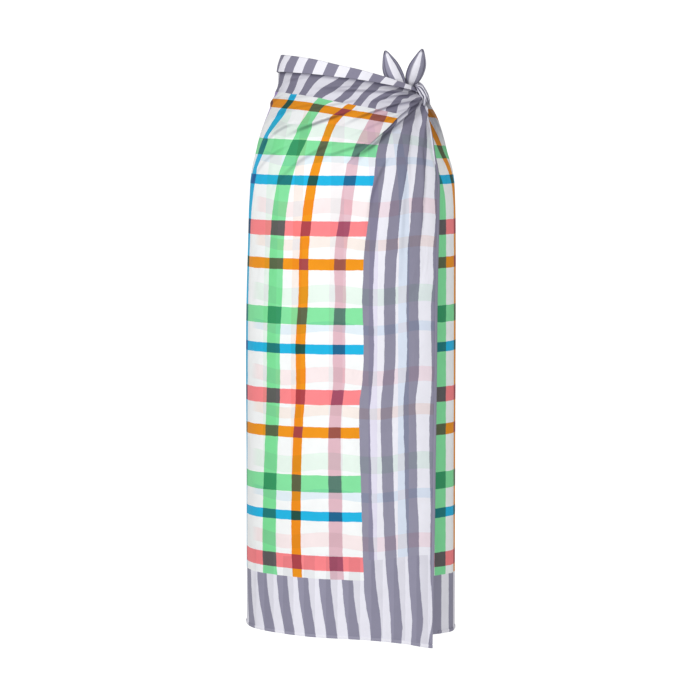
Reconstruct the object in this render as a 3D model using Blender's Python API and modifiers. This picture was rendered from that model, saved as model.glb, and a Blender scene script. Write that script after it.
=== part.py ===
# A sarong: one long rectangle of light cloth, wrapped one and a third times round the waist as a
# straight skirt and knotted at the hip, with its two corners standing up from the knot.
# Metres, +Z up, +X towards the knotted hip, front towards -Y. The origin is the middle of the
# waist, where the wearer holds the garment up.

import math
from collections import namedtuple

import bmesh
import bpy
import numpy as np
from mathutils import Vector

# Driving dimensions
CLOTH = 0.0014  # thickness of the wall that stands for the cloth
SEAM_GAP = 0.0005  # clearance between neighbouring pieces
LAYER_GAP = 0.0009  # air between the wound layers
TURN_DEPTH = 0.0295  # depth of the turned-down top at its widest
HEM_DEPTH = 0.006  # turned and stitched hem
HEM_THICKNESS = 0.0010
UNROLL_RADIUS = 0.16  # metres of cloth for each radian round the body, for placing folds
WAIST_RADIUS = 0.11  # the same at the waist, for the seams

# Angles round the body in degrees: 0 is the front, +90 the knotted side, -90 the plain side,
# and they keep falling as the cloth winds on round the back and in under the front.
PANEL_SEAM = -120.0  # the front stretch meets the back stretch here
BACK_END = -325.0  # the back stretch ends under the front flap
INNER_END = -428.0  # the hidden end of the cloth
KNOT_ANGLE = 62.0
KNOT_HEIGHT = -0.036
KNOT_RISE = 0.0028  # the wall bunches up by this much under the knot

Section = namedtuple("Section", "height centre half_width front_depth back_depth")
FIGURE = (
    Section(0.045, -0.0010, 0.1160, 0.090, 0.093),
    Section(0.036, -0.0010, 0.1180, 0.092, 0.095),
    Section(0.019, -0.0010, 0.1230, 0.094, 0.097),
    Section(0.000, -0.0010, 0.1245, 0.095, 0.099),
    Section(-0.020, -0.0010, 0.1258, 0.098, 0.102),
    Section(-0.041, 0.0002, 0.1334, 0.101, 0.106),
    Section(-0.066, 0.0022, 0.1455, 0.107, 0.113),
    Section(-0.089, 0.0028, 0.1550, 0.111, 0.119),
    Section(-0.114, 0.0026, 0.1630, 0.115, 0.124),
    Section(-0.139, 0.0026, 0.1690, 0.117, 0.127),
    Section(-0.161, 0.0034, 0.1752, 0.118, 0.129),
    Section(-0.187, 0.0040, 0.1795, 0.119, 0.130),
    Section(-0.223, 0.0038, 0.1816, 0.119, 0.130),
    Section(-0.295, 0.0032, 0.1833, 0.119, 0.127),
    Section(-0.400, 0.0018, 0.1850, 0.118, 0.122),
    Section(-0.700, 0.0014, 0.1852, 0.116, 0.118),
    Section(-1.030, 0.0012, 0.1853, 0.114, 0.117),
)

# The slanting waistline, from the plain side to the knot, read across the body
WaistPoint = namedtuple("WaistPoint", "across height")
WAISTLINE = (
    WaistPoint(-0.150, 0.0350),
    WaistPoint(-0.094, 0.0310),
    WaistPoint(-0.058, 0.0255),
    WaistPoint(-0.022, 0.0175),
    WaistPoint(0.018, 0.0090),
    WaistPoint(0.058, -0.0018),
    WaistPoint(0.098, -0.0150),
    WaistPoint(0.140, -0.0300),
)
BACK_WAIST_DROP = 0.004

# Depth of the turned-down top, which runs into the knot at both of its ends
TurnPoint = namedtuple("TurnPoint", "angle depth")
TURN_TAPER = (
    TurnPoint(-288.0, 0.010),
    TurnPoint(-262.0, 0.015),
    TurnPoint(-225.0, 0.024),
    TurnPoint(-190.0, TURN_DEPTH),
    TurnPoint(-85.0, TURN_DEPTH),
    TurnPoint(-30.0, 0.0250),
    TurnPoint(-5.0, 0.0195),
    TurnPoint(15.0, 0.0155),
    TurnPoint(40.0, 0.0105),
    TurnPoint(61.0, 0.0080),
)

HemPoint = namedtuple("HemPoint", "angle height")
FRONT_HEM = (
    HemPoint(-120.0, -0.980),
    HemPoint(-90.0, -0.981),
    HemPoint(-65.0, -0.984),
    HemPoint(-25.0, -0.9895),
    HemPoint(12.0, -0.996),
    HemPoint(29.0, -1.003),
    HemPoint(50.0, -1.014),
)
BACK_HEM = (
    HemPoint(-430.0, -0.978),
    HemPoint(-360.0, -0.986),
    HemPoint(-310.0, -0.992),
    HemPoint(-270.0, -0.992),
    HemPoint(-180.0, -0.986),
    HemPoint(-120.0, -0.980),
)

# The free front edge, from the hem up to the knot
EdgePoint = namedtuple("EdgePoint", "height angle")
FREE_EDGE = (
    EdgePoint(-1.020, 47.0),
    EdgePoint(-0.860, 48.2),
    EdgePoint(-0.580, 50.2),
    EdgePoint(-0.300, 52.6),
    EdgePoint(-0.180, 56.2),
    EdgePoint(-0.130, 58.6),
    EdgePoint(-0.096, 60.5),
    EdgePoint(-0.062, 64.5),
    EdgePoint(-0.030, 69.0),
)
# How far the free edge of the flap stands off the layer below it
FlapPoint = namedtuple("FlapPoint", "height stand_off")
FLAP = (
    FlapPoint(-1.030, 0.0125),
    FlapPoint(-0.600, 0.0095),
    FlapPoint(-0.300, 0.0065),
    FlapPoint(-0.150, 0.0020),
    FlapPoint(-0.060, 0.0),
)
FLAP_START = 14.0  # degrees, where the flap begins to lift

# Creases: a soft ridge from one place to another by way of a third, steeper below than above
Fold = namedtuple("Fold", "from_angle from_height by_angle by_height to_angle to_height rise width")
FRONT_FOLDS = (
    Fold(63, -0.032, 17, -0.025, -32, -0.022, 0.0036, 0.009),
    Fold(62, -0.036, 33, -0.034, 9, -0.049, 0.0042, 0.010),
    Fold(63, -0.041, 21, -0.056, -12, -0.093, 0.0050, 0.013),
    Fold(2, -0.058, -26, -0.083, -50, -0.108, 0.0055, 0.015),
    Fold(63, -0.046, 29, -0.082, -4, -0.162, 0.0068, 0.016),
    Fold(14, -0.111, -4, -0.127, -26, -0.148, 0.0030, 0.013),
    Fold(66, -0.052, 53, -0.084, 48, -0.130, 0.0042, 0.009),
    Fold(-36, -0.082, -55, -0.098, -76, -0.142, 0.0036, 0.014),
    Fold(-60, -0.030, -78, -0.046, -98, -0.058, 0.0028, 0.010),
)
BACK_FOLDS = (
    Fold(-291, -0.040, -240, -0.036, -196, -0.052, 0.0030, 0.011),
    Fold(-291, -0.046, -245, -0.064, -205, -0.112, 0.0036, 0.014),
    Fold(-290, -0.052, -258, -0.096, -232, -0.175, 0.0042, 0.016),
    Fold(-289, -0.060, -278, -0.108, -270, -0.190, 0.0022, 0.013),
    Fold(-196, -0.098, -170, -0.118, -140, -0.150, 0.0030, 0.015),
)
# Soft upright waves that open towards the hem
Wave = namedtuple("Wave", "angle rise spread")
WAVES = (
    Wave(-222.0, 0.0060, 12.0),
    Wave(-190.0, 0.0046, 13.0),
    Wave(-158.0, 0.0058, 12.0),
    Wave(-128.0, 0.0040, 9.0),
    Wave(-64.0, 0.0020, 10.0),
    Wave(-20.0, 0.0014, 12.0),
    Wave(71.0, 0.0022, 7.0),
)
WAVE_TOP = -0.22
WAVE_FOOT = -0.98

# The knot: two gathered strands that cross the waist edge and run down beside the free edge,
# and the two pointed corners of the cloth. Stand is the distance out from the figure.
STRAND_PLEATS = 7
StrandPoint = namedtuple("StrandPoint", "place angle height stand radius")
FRONT_STRAND = (
    StrandPoint(0.0, 59.0, -0.0165, 0.0105, 0.0034),
    StrandPoint(0.2, 61.5, -0.0200, 0.0122, 0.0054),
    StrandPoint(0.5, 63.5, -0.0300, 0.0130, 0.0062),
    StrandPoint(0.8, 63.0, -0.0420, 0.0125, 0.0058),
    StrandPoint(1.0, 59.0, -0.0525, 0.0125, 0.0034),
)
BACK_STRAND = (
    StrandPoint(0.0, 68.2, -0.0140, 0.0052, 0.0030),
    StrandPoint(0.2, 71.2, -0.0178, 0.0070, 0.0043),
    StrandPoint(0.5, 73.5, -0.0290, 0.0076, 0.0048),
    StrandPoint(0.8, 73.5, -0.0420, 0.0078, 0.0046),
    StrandPoint(1.0, 70.5, -0.0535, 0.0076, 0.0030),
)
# Each corner runs from its root, behind the waist edge, to its tip. It faces its turn, seen
# from above, and its lean is sideways, as a share of its width.
End = namedtuple("End", "root tip width bow lean turn")
LEFT_END = End((0.0932, -0.0612, -0.0250), (0.0602, -0.0800, 0.0424), 0.0335, 0.0042, -0.14, 8.0)
RIGHT_END = End((0.1080, -0.0433, -0.0240), (0.1254, -0.0700, 0.0455), 0.0375, 0.0044, -0.07, 28.0)


def column(table, name):
    return np.array([getattr(row, name) for row in table], dtype=float)


def through(table, key, name, at):
    """A smooth curve through one column of a table, held level past its two ends."""
    xs = column(table, key)
    ys = column(table, name)
    if xs[0] > xs[-1]:
        xs = xs[::-1]
        ys = ys[::-1]
    slopes = np.gradient(ys, xs)
    slopes[0] = 0.0
    slopes[-1] = 0.0
    at = np.clip(np.asarray(at, dtype=float), xs[0], xs[-1])
    index = np.clip(np.searchsorted(xs, at) - 1, 0, len(xs) - 2)
    span = xs[index + 1] - xs[index]
    t = (at - xs[index]) / span
    rest = 1.0 - t
    return (
        ys[index] * (1 + 2 * t) * rest**2
        + slopes[index] * span * t * rest**2
        + ys[index + 1] * t**2 * (3 - 2 * t)
        - slopes[index + 1] * span * t**2 * rest
    )


def ease(value, start, end):
    """0 before start, 1 after end, and a smooth step between them."""
    t = np.clip((value - start) / (end - start), 0.0, 1.0)
    return t * t * (3.0 - 2.0 * t)


def same_turn(angle):
    """The angle brought back to one turn, from -180 to 180."""
    return (np.asarray(angle, dtype=float) + 180.0) % 360.0 - 180.0


def body_point(angle, height, offset):
    """A point at this offset outside the general figure, whose section is a pair of half ellipses."""
    turn = np.radians(angle)
    half_width = through(FIGURE, "height", "half_width", height)
    front = through(FIGURE, "height", "front_depth", height)
    back = through(FIGURE, "height", "back_depth", height)
    depth = np.where(np.cos(turn) >= 0.0, front, back)
    x = through(FIGURE, "height", "centre", height) + half_width * np.sin(turn)
    y = -depth * np.cos(turn)
    normal_x = np.sin(turn) / half_width
    normal_y = -np.cos(turn) / depth
    length = np.hypot(normal_x, normal_y)
    x = x + offset * normal_x / length
    y = y + offset * normal_y / length
    return np.stack([x, y, height + 0.0 * x], axis=-1)


def waist_height(angle):
    """The folded top of the cloth, a little lower at the back than at the front."""
    across = 0.130 * np.sin(np.radians(angle))
    drop = BACK_WAIST_DROP * ease(-np.cos(np.radians(angle)), -0.2, 0.8)
    return through(WAISTLINE, "across", "height", across) - drop


def turn_depth(angle):
    return through(TURN_TAPER, "angle", "depth", angle)


def fold_rise(folds, angle, height):
    """Outward height of all the creases of a stretch of cloth at each of its points."""
    along = UNROLL_RADIUS * np.radians(angle)
    total = np.zeros_like(along)
    steps = np.linspace(0.0, 1.0, 15)
    for fold in folds:
        ends = [
            (UNROLL_RADIUS * math.radians(fold.from_angle), fold.from_height),
            (UNROLL_RADIUS * math.radians(fold.by_angle), fold.by_height),
            (UNROLL_RADIUS * math.radians(fold.to_angle), fold.to_height),
        ]
        first, middle, last = (np.array(p) for p in ends)
        control = 2.0 * middle - 0.5 * (first + last)
        line = (
            np.outer((1 - steps) ** 2, first)
            + np.outer(2 * steps * (1 - steps), control)
            + np.outer(steps**2, last)
        )
        nearest = np.full_like(along, np.inf)
        rise = np.zeros_like(along)
        for i in range(len(steps) - 1):
            start = line[i]
            step = line[i + 1] - start
            dx = along - start[0]
            dz = height - start[1]
            t = np.clip((dx * step[0] + dz * step[1]) / (step @ step), 0.0, 1.0)
            away_x = dx - t * step[0]
            away_z = dz - t * step[1]
            distance = np.hypot(away_x, away_z)
            share = steps[i] + t * (steps[i + 1] - steps[i])
            width = fold.width * (0.55 + 0.45 * share)
            width = np.where(away_z < 0.0, 0.55 * width, width)
            strength = fold.rise * (0.25 + ease(share, 0.0, 0.3)) * ease(1.0 - share, -0.05, 0.55)
            here = strength * np.exp(-((distance / width) ** 2))
            closer = distance < nearest
            nearest = np.where(closer, distance, nearest)
            rise = np.where(closer, here, rise)
        total += rise
    return total


def wave_rise(angle, height):
    """Outward height of the upright waves, the same for every layer."""
    opening = ease(-height, -WAVE_TOP, -WAVE_FOOT)
    total = np.zeros_like(height)
    for wave in WAVES:
        away = same_turn(angle - wave.angle)
        total += wave.rise * np.exp(-((away / wave.spread) ** 2)) * opening
    return total


def knot_rise(angle, height):
    """The cloth bunches up off the body where it runs into the knot."""
    along = UNROLL_RADIUS * np.radians(same_turn(angle - KNOT_ANGLE))
    away = np.hypot(along, height - KNOT_HEIGHT)
    return KNOT_RISE * np.exp(-((away / 0.024) ** 2))


def below_turn(angle, height):
    """0 under the turned-down top and 1 well below it, so that folds keep clear of it."""
    free = waist_height(angle) - turn_depth(angle) - height
    return ease(free, 0.001, 0.012)


def layer_offset(angle):
    """The front stretch lies over the hidden one and comes back to the body past its end."""
    over = CLOTH + LAYER_GAP
    return over * ease(angle, -108.0, -72.0)


def front_surface(share, rise):
    """The front stretch: share runs from the free edge to the plain side, rise from hem to waist."""
    nominal = -1.0 + 0.96 * rise
    edge = through(FREE_EDGE, "height", "angle", nominal)
    angle = edge + (PANEL_SEAM - edge) * share
    foot = through(FRONT_HEM, "angle", "height", angle)
    top = waist_height(angle) - CLOTH - SEAM_GAP
    height = foot + (top - foot) * rise
    flap = through(FLAP, "height", "stand_off", height) * ease(angle, FLAP_START, 52.0) ** 1.2
    creases = fold_rise(FRONT_FOLDS, angle, height) * below_turn(angle, height)
    bunch = knot_rise(angle, height) * below_turn(angle, height)
    offset = layer_offset(angle) + flap + creases + bunch + wave_rise(angle, height)
    return angle, height, offset


def back_surface(share, rise, start=PANEL_SEAM, end=BACK_END):
    """The stretch round the back, or with other ends the one hidden under the front."""
    gap = math.degrees(SEAM_GAP / WAIST_RADIUS)
    angle = start - gap + (end - start + gap) * share
    foot = through(BACK_HEM, "angle", "height", angle)
    top = waist_height(angle) - CLOTH - SEAM_GAP
    height = foot + (top - foot) * rise
    clear_of_flap = ease(-angle, 308.0, 296.0)
    creases = fold_rise(BACK_FOLDS, angle, height) * below_turn(angle, height) * clear_of_flap
    offset = creases + wave_rise(angle, height)
    return angle, height, offset


def inner_surface(share, rise):
    angle, height, offset = back_surface(share, rise, BACK_END, INNER_END)
    return angle, height, offset


def spaced(count, fine_from, fine_share):
    """Numbers from 0 to 1 with fine_share of the steps in the last stretch, above fine_from."""
    fine = int(round(count * fine_share))
    coarse = np.linspace(0.0, fine_from, count - fine + 1)
    return np.concatenate([coarse, np.linspace(fine_from, 1.0, fine + 1)[1:]])


FRONT_COLUMNS = spaced(42, 0.38, 0.79)
BACK_COLUMNS = spaced(30, 0.40, 0.66)


def material(name, color, roughness):
    made = bpy.data.materials.new(name)
    made.use_nodes = True
    shader = made.node_tree.nodes["Principled BSDF"]
    shader.inputs["Base Color"].default_value = (*color, 1.0)
    shader.inputs["Roughness"].default_value = roughness
    shader.inputs["Metallic"].default_value = 0.0
    made.diffuse_color = (*color, 1.0)
    return made


def add_object(name, mesh, finish, collection):
    made = bpy.data.objects.new(name, mesh)
    made.data.materials.append(finish)
    collection.objects.link(made)
    return made


def cloth_shell(name, columns, rows, place, finish, collection, thickness=CLOTH):
    """An open grid laid out by place(columns, rows), given its thickness outwards by Solidify."""
    grid = bmesh.new()
    bmesh.ops.create_grid(
        grid, x_segments=len(columns) - 1, y_segments=len(rows) - 1, size=1.0
    )
    grid.verts.ensure_lookup_table()
    spots = np.array([vert.co[:] for vert in grid.verts])
    column_index = np.rint((spots[:, 0] + 1.0) / 2.0 * (len(columns) - 1)).astype(int)
    row_index = np.rint((spots[:, 1] + 1.0) / 2.0 * (len(rows) - 1)).astype(int)
    points = place(columns[column_index], rows[row_index])
    for vert, point in zip(grid.verts, points):
        vert.co = Vector(point)
    mesh = bpy.data.meshes.new(name)
    grid.to_mesh(mesh)
    grid.free()
    mesh.shade_smooth()
    made = add_object(name, mesh, finish, collection)
    wall = made.modifiers.new("wall", "SOLIDIFY")
    wall.thickness = thickness
    wall.offset = 1.0
    wall.use_rim = True
    return made


def outward(points_of):
    """Places a stretch of cloth from its angle, height and offset round the figure."""

    def place(share, rise):
        angle, height, offset = points_of(share, rise)
        return body_point(angle, height, offset)

    return place


def add_wraps(finish, collection):
    rows = spaced(27, 0.80, 0.66)
    cloth_shell(
        "front_wrap", 1.0 - FRONT_COLUMNS, rows, outward(front_surface), finish, collection,
    )
    cloth_shell(
        "back_wrap", 1.0 - BACK_COLUMNS, rows, outward(back_surface), finish, collection,
    )
    cloth_shell(
        "inner_wrap", 1.0 - np.linspace(0.0, 1.0, 11), rows,
        outward(inner_surface), finish, collection,
    )


def outer_offset(angle):
    """Offset of the outside of the wrapped cloth just under the turned-down top."""
    return layer_offset(np.asarray(angle, dtype=float)) + CLOTH


def turnover_place(share, rise):
    """The turned-down top: rise 0 is its loose lower edge, 0.8 the fold and 1 its inner rim."""
    first, last = 60.0, -284.0
    angle = first + (last - first) * share
    fold = waist_height(angle)
    depth = turn_depth(angle)
    outside = outer_offset(angle) + 1.4 * SEAM_GAP
    down = np.clip((0.75 - rise) / 0.75, 0.0, 1.0)
    over = np.clip((rise - 0.75) / 0.25, 0.0, 1.0)
    flare = 0.0016 * down**2 * (depth / TURN_DEPTH)
    ripple = 0.0007 * (1 + np.sin(np.radians(9.0 * angle))) * down
    height = fold - depth * down
    offset = outside + flare + ripple - over * (outside - layer_offset(angle))
    return body_point(angle, height, offset)


def add_turnover(finish, collection):
    cloth_shell(
        "waist_turnover", 1.0 - np.linspace(0.0, 1.0, 61), np.array([0.0, 0.25, 0.5, 0.75, 1.0]),
        turnover_place, finish, collection,
    )


def hem_place(points_of, low, high, across=False):
    """A narrow turning on the outside of a stretch, made from that stretch's own points."""

    def place(share, rise):
        if across:
            angle, height, offset = points_of(low + (high - low) * share, rise)
        else:
            angle, height, offset = points_of(share, low + (high - low) * rise)
        return body_point(angle, height, offset + CLOTH + SEAM_GAP)

    return place


def add_hems(finish, collection):
    tall = HEM_DEPTH / 1.02
    wide = HEM_DEPTH / 0.52
    edge_rows = spaced(26, 0.80, 0.5)
    edge_rows = 0.004 + tall + (0.93 - 0.004 - tall) * edge_rows
    cloth_shell(
        "front_hem", 1.0 - FRONT_COLUMNS, np.array([0.0, 1.0]),
        hem_place(front_surface, 0.0, tall), finish, collection, HEM_THICKNESS,
    )
    seen = 1.0 - BACK_COLUMNS
    seen = seen[seen < 0.90]
    cloth_shell(
        "back_hem", seen, np.array([0.0, 1.0]),
        hem_place(back_surface, 0.0, tall), finish, collection, HEM_THICKNESS,
    )
    cloth_shell(
        "edge_hem", np.array([1.0, 0.0]), edge_rows,
        hem_place(front_surface, 0.0, wide, across=True), finish, collection, HEM_THICKNESS,
    )


def strand(name, table, finish, collection):
    """A gathered strand of cloth: a long ball bent along the table, with pleats along it."""
    ball = bmesh.new()
    bmesh.ops.create_uvsphere(ball, u_segments=28, v_segments=12, radius=1.0)
    spots = np.array([vert.co[:] for vert in ball.verts])
    place = np.arccos(np.clip(spots[:, 2], -1.0, 1.0)) / math.pi

    def spine(at):
        angle, height, stand = (
            through(table, "place", part, at) for part in ("angle", "height", "stand")
        )
        return angle, height, body_point(angle, height, stand)

    angle, height, middle = spine(place)
    along = spine(np.minimum(place + 0.01, 1.0))[2] - spine(np.maximum(place - 0.01, 0.0))[2]
    along /= np.linalg.norm(along, axis=1)[:, None]
    out = body_point(angle, height, 0.01) - body_point(angle, height, 0.0)
    side = np.cross(out, along)
    side /= np.linalg.norm(side, axis=1)[:, None]
    out = np.cross(along, side)
    around = np.arctan2(spots[:, 1], spots[:, 0])
    pleat = 1.0 - 0.12 * (0.5 + 0.5 * np.cos(STRAND_PLEATS * around + 2.2 * place))
    radius = through(table, "place", "radius", place) * pleat
    radius *= np.hypot(spots[:, 0], spots[:, 1]) ** 0.7
    points = middle + out * (radius * np.cos(around))[:, None]
    points += side * (radius * np.sin(around))[:, None]
    for vert, point in zip(ball.verts, points):
        vert.co = Vector(point)
    mesh = bpy.data.meshes.new(name)
    ball.to_mesh(mesh)
    ball.free()
    mesh.shade_smooth()
    add_object(name, mesh, finish, collection)


def end_place(end):
    """A corner of the cloth: pointed, folded down its middle and bowed like a leaf."""
    root = np.array(end.root)
    tip = np.array(end.tip)
    axis = tip - root
    turn = math.radians(end.turn)
    forward = np.array([math.sin(turn), -math.cos(turn), 0.0])
    side = np.cross(axis, forward)
    side /= np.linalg.norm(side)
    forward = np.cross(side, axis / np.linalg.norm(axis))

    def place(share, rise):
        across = 2.0 * share - 1.0
        outline = np.sin(np.pi * (0.02 + 0.98 * rise)) ** 0.6 * (1.0 - 0.20 * rise)
        half = 0.5 * end.width * (0.05 + outline)
        bow = end.bow * np.sin(np.pi * rise) - 0.006 * (1.0 - rise) ** 2
        cup = -0.34 * half * (1.0 - across**2) + 0.05 * half * np.abs(across)
        swing = end.lean * end.width * np.sin(np.pi * rise)
        point = root + np.outer(rise, axis)
        point += np.outer(half * across + swing, side)
        point += np.outer(bow - cup, forward)
        return point

    return place


def add_ends(finish, collection):
    for name, end in (("knot_end_left", LEFT_END), ("knot_end_right", RIGHT_END)):
        cloth_shell(
            name, np.linspace(0.0, 1.0, 11), np.linspace(0.0, 1.0, 15),
            end_place(end), finish, collection,
        )


def main():
    for old in list(bpy.data.objects):
        bpy.data.objects.remove(old)
    garment = bpy.data.collections.new("sarong")
    bpy.context.scene.collection.children.link(garment)
    checked = material("checked_cloth", (0.86, 0.87, 0.87), 0.75)
    striped = material("striped_cloth", (0.45, 0.43, 0.50), 0.75)
    add_wraps(checked, garment)
    add_turnover(striped, garment)
    add_hems(striped, garment)
    strand("knot_front", FRONT_STRAND, striped, garment)
    strand("knot_back", BACK_STRAND, striped, garment)
    add_ends(striped, garment)


main()
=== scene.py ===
import bpy
import math
import numpy as np
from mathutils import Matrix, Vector


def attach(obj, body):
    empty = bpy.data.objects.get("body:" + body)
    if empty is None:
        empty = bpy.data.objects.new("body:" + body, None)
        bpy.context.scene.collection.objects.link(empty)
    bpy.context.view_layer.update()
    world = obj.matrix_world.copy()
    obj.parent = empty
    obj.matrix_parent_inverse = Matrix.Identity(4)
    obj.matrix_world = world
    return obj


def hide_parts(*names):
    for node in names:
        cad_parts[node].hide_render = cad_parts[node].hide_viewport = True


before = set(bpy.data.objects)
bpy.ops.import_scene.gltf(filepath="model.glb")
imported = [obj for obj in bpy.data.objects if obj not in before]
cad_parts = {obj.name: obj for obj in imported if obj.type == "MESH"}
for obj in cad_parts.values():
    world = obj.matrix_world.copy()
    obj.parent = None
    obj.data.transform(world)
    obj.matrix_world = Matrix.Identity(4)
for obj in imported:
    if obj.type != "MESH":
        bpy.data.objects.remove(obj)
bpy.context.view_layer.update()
print("frame loaded:", sorted(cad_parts))

# The figure under the cloth; heights, widths and depths as in the solids, in metres
# height, centre, half width, depth to the front, depth to the back
figureRows = np.array([
    (0.045, -0.0010, 0.1160, 0.090, 0.093),
    (0.036, -0.0010, 0.1180, 0.092, 0.095),
    (0.019, -0.0010, 0.1230, 0.094, 0.097),
    (0.000, -0.0010, 0.1245, 0.095, 0.099),
    (-0.020, -0.0010, 0.1258, 0.098, 0.102),
    (-0.041, 0.0002, 0.1334, 0.101, 0.106),
    (-0.066, 0.0022, 0.1455, 0.107, 0.113),
    (-0.089, 0.0028, 0.1550, 0.111, 0.119),
    (-0.114, 0.0026, 0.1630, 0.115, 0.124),
    (-0.139, 0.0026, 0.1690, 0.117, 0.127),
    (-0.161, 0.0034, 0.1752, 0.118, 0.129),
    (-0.187, 0.0040, 0.1795, 0.119, 0.130),
    (-0.223, 0.0038, 0.1816, 0.119, 0.130),
    (-0.295, 0.0032, 0.1833, 0.119, 0.127),
    (-0.400, 0.0018, 0.1850, 0.118, 0.122),
    (-0.700, 0.0014, 0.1852, 0.116, 0.118),
    (-1.030, 0.0012, 0.1853, 0.114, 0.117),
])
# place across the body, height of the folded top
waistRows = np.array([
    (-0.150, 0.0350), (-0.094, 0.0310), (-0.058, 0.0255), (-0.022, 0.0175),
    (0.018, 0.0090), (0.058, -0.0018), (0.098, -0.0150), (0.140, -0.0300),
])
# angle round the body, depth of the turned-down top
turnRows = np.array([
    (-288.0, 0.0100), (-262.0, 0.0150), (-225.0, 0.0240), (-190.0, 0.0295), (-85.0, 0.0295),
    (-30.0, 0.0250), (-5.0, 0.0195), (15.0, 0.0155), (40.0, 0.0105), (61.0, 0.0080),
])
# angle, height of the foot of the cloth
frontHemRows = np.array([
    (-120.0, -0.980), (-90.0, -0.981), (-65.0, -0.984), (-25.0, -0.9895),
    (12.0, -0.996), (29.0, -1.003), (50.0, -1.014),
])
backHemRows = np.array([
    (-430.0, -0.978), (-360.0, -0.986), (-310.0, -0.992), (-270.0, -0.992),
    (-180.0, -0.986), (-120.0, -0.980),
])
# height, angle of the free front edge
edgeRows = np.array([
    (-1.020, 47.0), (-0.860, 48.2), (-0.580, 50.2), (-0.300, 52.6), (-0.180, 56.2),
    (-0.130, 58.6), (-0.096, 60.5), (-0.062, 64.5), (-0.030, 69.0),
])
# height, how far the free edge stands off the layer below
flapRows = np.array([
    (-1.030, 0.0125), (-0.600, 0.0095), (-0.300, 0.0065), (-0.150, 0.0020), (-0.060, 0.0),
])
# the pulls that run into the knot: angle and height of start, middle and end, rise, width
frontFolds = np.array([
    (63, -0.032, 17, -0.025, -32, -0.022, 0.0036, 0.009),
    (62, -0.036, 33, -0.034, 9, -0.049, 0.0042, 0.010),
    (63, -0.041, 21, -0.056, -12, -0.093, 0.0050, 0.013),
    (2, -0.058, -26, -0.083, -50, -0.108, 0.0055, 0.015),
    (63, -0.046, 29, -0.082, -4, -0.162, 0.0068, 0.016),
    (14, -0.111, -4, -0.127, -26, -0.148, 0.0030, 0.013),
    (66, -0.052, 53, -0.084, 48, -0.130, 0.0042, 0.009),
    (-36, -0.082, -55, -0.098, -76, -0.142, 0.0036, 0.014),
    (-60, -0.030, -78, -0.046, -98, -0.058, 0.0028, 0.010),
])
backFolds = np.array([
    (-291, -0.040, -240, -0.036, -196, -0.052, 0.0030, 0.011),
    (-291, -0.046, -245, -0.064, -205, -0.112, 0.0036, 0.014),
    (-290, -0.052, -256, -0.100, -232, -0.175, 0.0034, 0.014),
    (-289, -0.060, -280, -0.108, -274, -0.190, 0.0022, 0.011),
    (-196, -0.098, -170, -0.118, -140, -0.150, 0.0030, 0.015),
    (-284, -0.038, -258, -0.044, -224, -0.058, 0.0022, 0.007),
    (-250, -0.050, -218, -0.066, -180, -0.078, 0.0024, 0.009),
    (-172, -0.046, -150, -0.060, -128, -0.084, 0.0022, 0.009),
    (-296, -0.050, -288, -0.074, -279, -0.118, 0.0026, 0.006),
    (-297, -0.062, -292, -0.092, -287, -0.140, 0.0024, 0.005),
])
fineFolds = np.array([
    (66, -0.036, 40, -0.027, 6, -0.031, 0.0020, 0.0060),
    (64, -0.044, 44, -0.052, 26, -0.066, 0.0022, 0.0060),
    (12, -0.037, -14, -0.049, -44, -0.062, 0.0024, 0.0080),
    (-18, -0.046, -48, -0.057, -82, -0.079, 0.0020, 0.0090),
    (24, -0.098, 10, -0.124, -12, -0.158, 0.0022, 0.0080),
    (66, -0.046, 58, -0.070, 52, -0.100, 0.0018, 0.0050),
    (-64, -0.020, -80, -0.030, -104, -0.036, 0.0018, 0.0070),
    (40, -0.090, 34, -0.140, 30, -0.220, 0.0016, 0.0090),
    (60, -0.040, 30, -0.043, 0, -0.040, 0.0018, 0.0045),
    (58, -0.047, 28, -0.062, 2, -0.078, 0.0022, 0.0055),
    (50, -0.052, 22, -0.075, -8, -0.112, 0.0022, 0.0065),
    (-20, -0.030, -45, -0.036, -70, -0.040, 0.0014, 0.0060),
    (-35, -0.055, -58, -0.066, -84, -0.088, 0.0018, 0.0080),
    (10, -0.024, -12, -0.026, -36, -0.030, 0.0012, 0.0050),
    (16, -0.012, -8, -0.018, -33, -0.020, 0.0030, 0.0055),
    (-30, 0.000, -48, -0.004, -66, -0.012, 0.0020, 0.0060),
    (-8, -0.112, -34, -0.150, -58, -0.215, 0.0030, 0.0140),
    (22, -0.140, 10, -0.200, 4, -0.300, 0.0022, 0.0120),
    (-40, -0.120, -62, -0.150, -84, -0.210, 0.0026, 0.0130),
    (48, -0.110, 41, -0.200, 37, -0.340, 0.0022, 0.0090),
    (30, -0.150, 27, -0.260, 24, -0.420, 0.0018, 0.0090),
])
# the deep tuck that runs down from the knot: angle, height, metres of cloth hidden in it
tuckRows = np.array([
    (63.0, -0.0390, 0.036), (53.0, -0.0475, 0.036), (39.0, -0.0600, 0.036), (28.0, -0.0780, 0.036),
    (20.5, -0.0950, 0.034), (13.0, -0.1125, 0.026), (6.5, -0.1300, 0.016), (-1.0, -0.1470, 0.006),
    (-5.0, -0.1575, 0.0),
])
tuck = {
    "rise": 0.89,  # the row of the grid that lies along the tuck
    "step": 0.0003,  # from that row to the next one
    "jump": (0.00005, 0.00025),  # the cloth goes from below to above within these heights
    "lip": 0.0026,
    "lipReach": 0.013,
    # painted shade under the tuck's lip, and how far it reaches
    "shade": 1.1,
    "shadeReach": 0.0045,
}
# how the pulls stand out: strength, width of the lower side, painted shade at its foot
pullLook = {"front": 1.45, "frontSteep": 0.34, "frontShade": 0.85, "fineSteep": 0.50,
            "fineShade": 0.9, "back": 1.15, "backSteep": 0.30, "power": 1.35, "leastWidth": 0.0036,
            "shadeRise": 0.006, "steps": 19}
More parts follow.
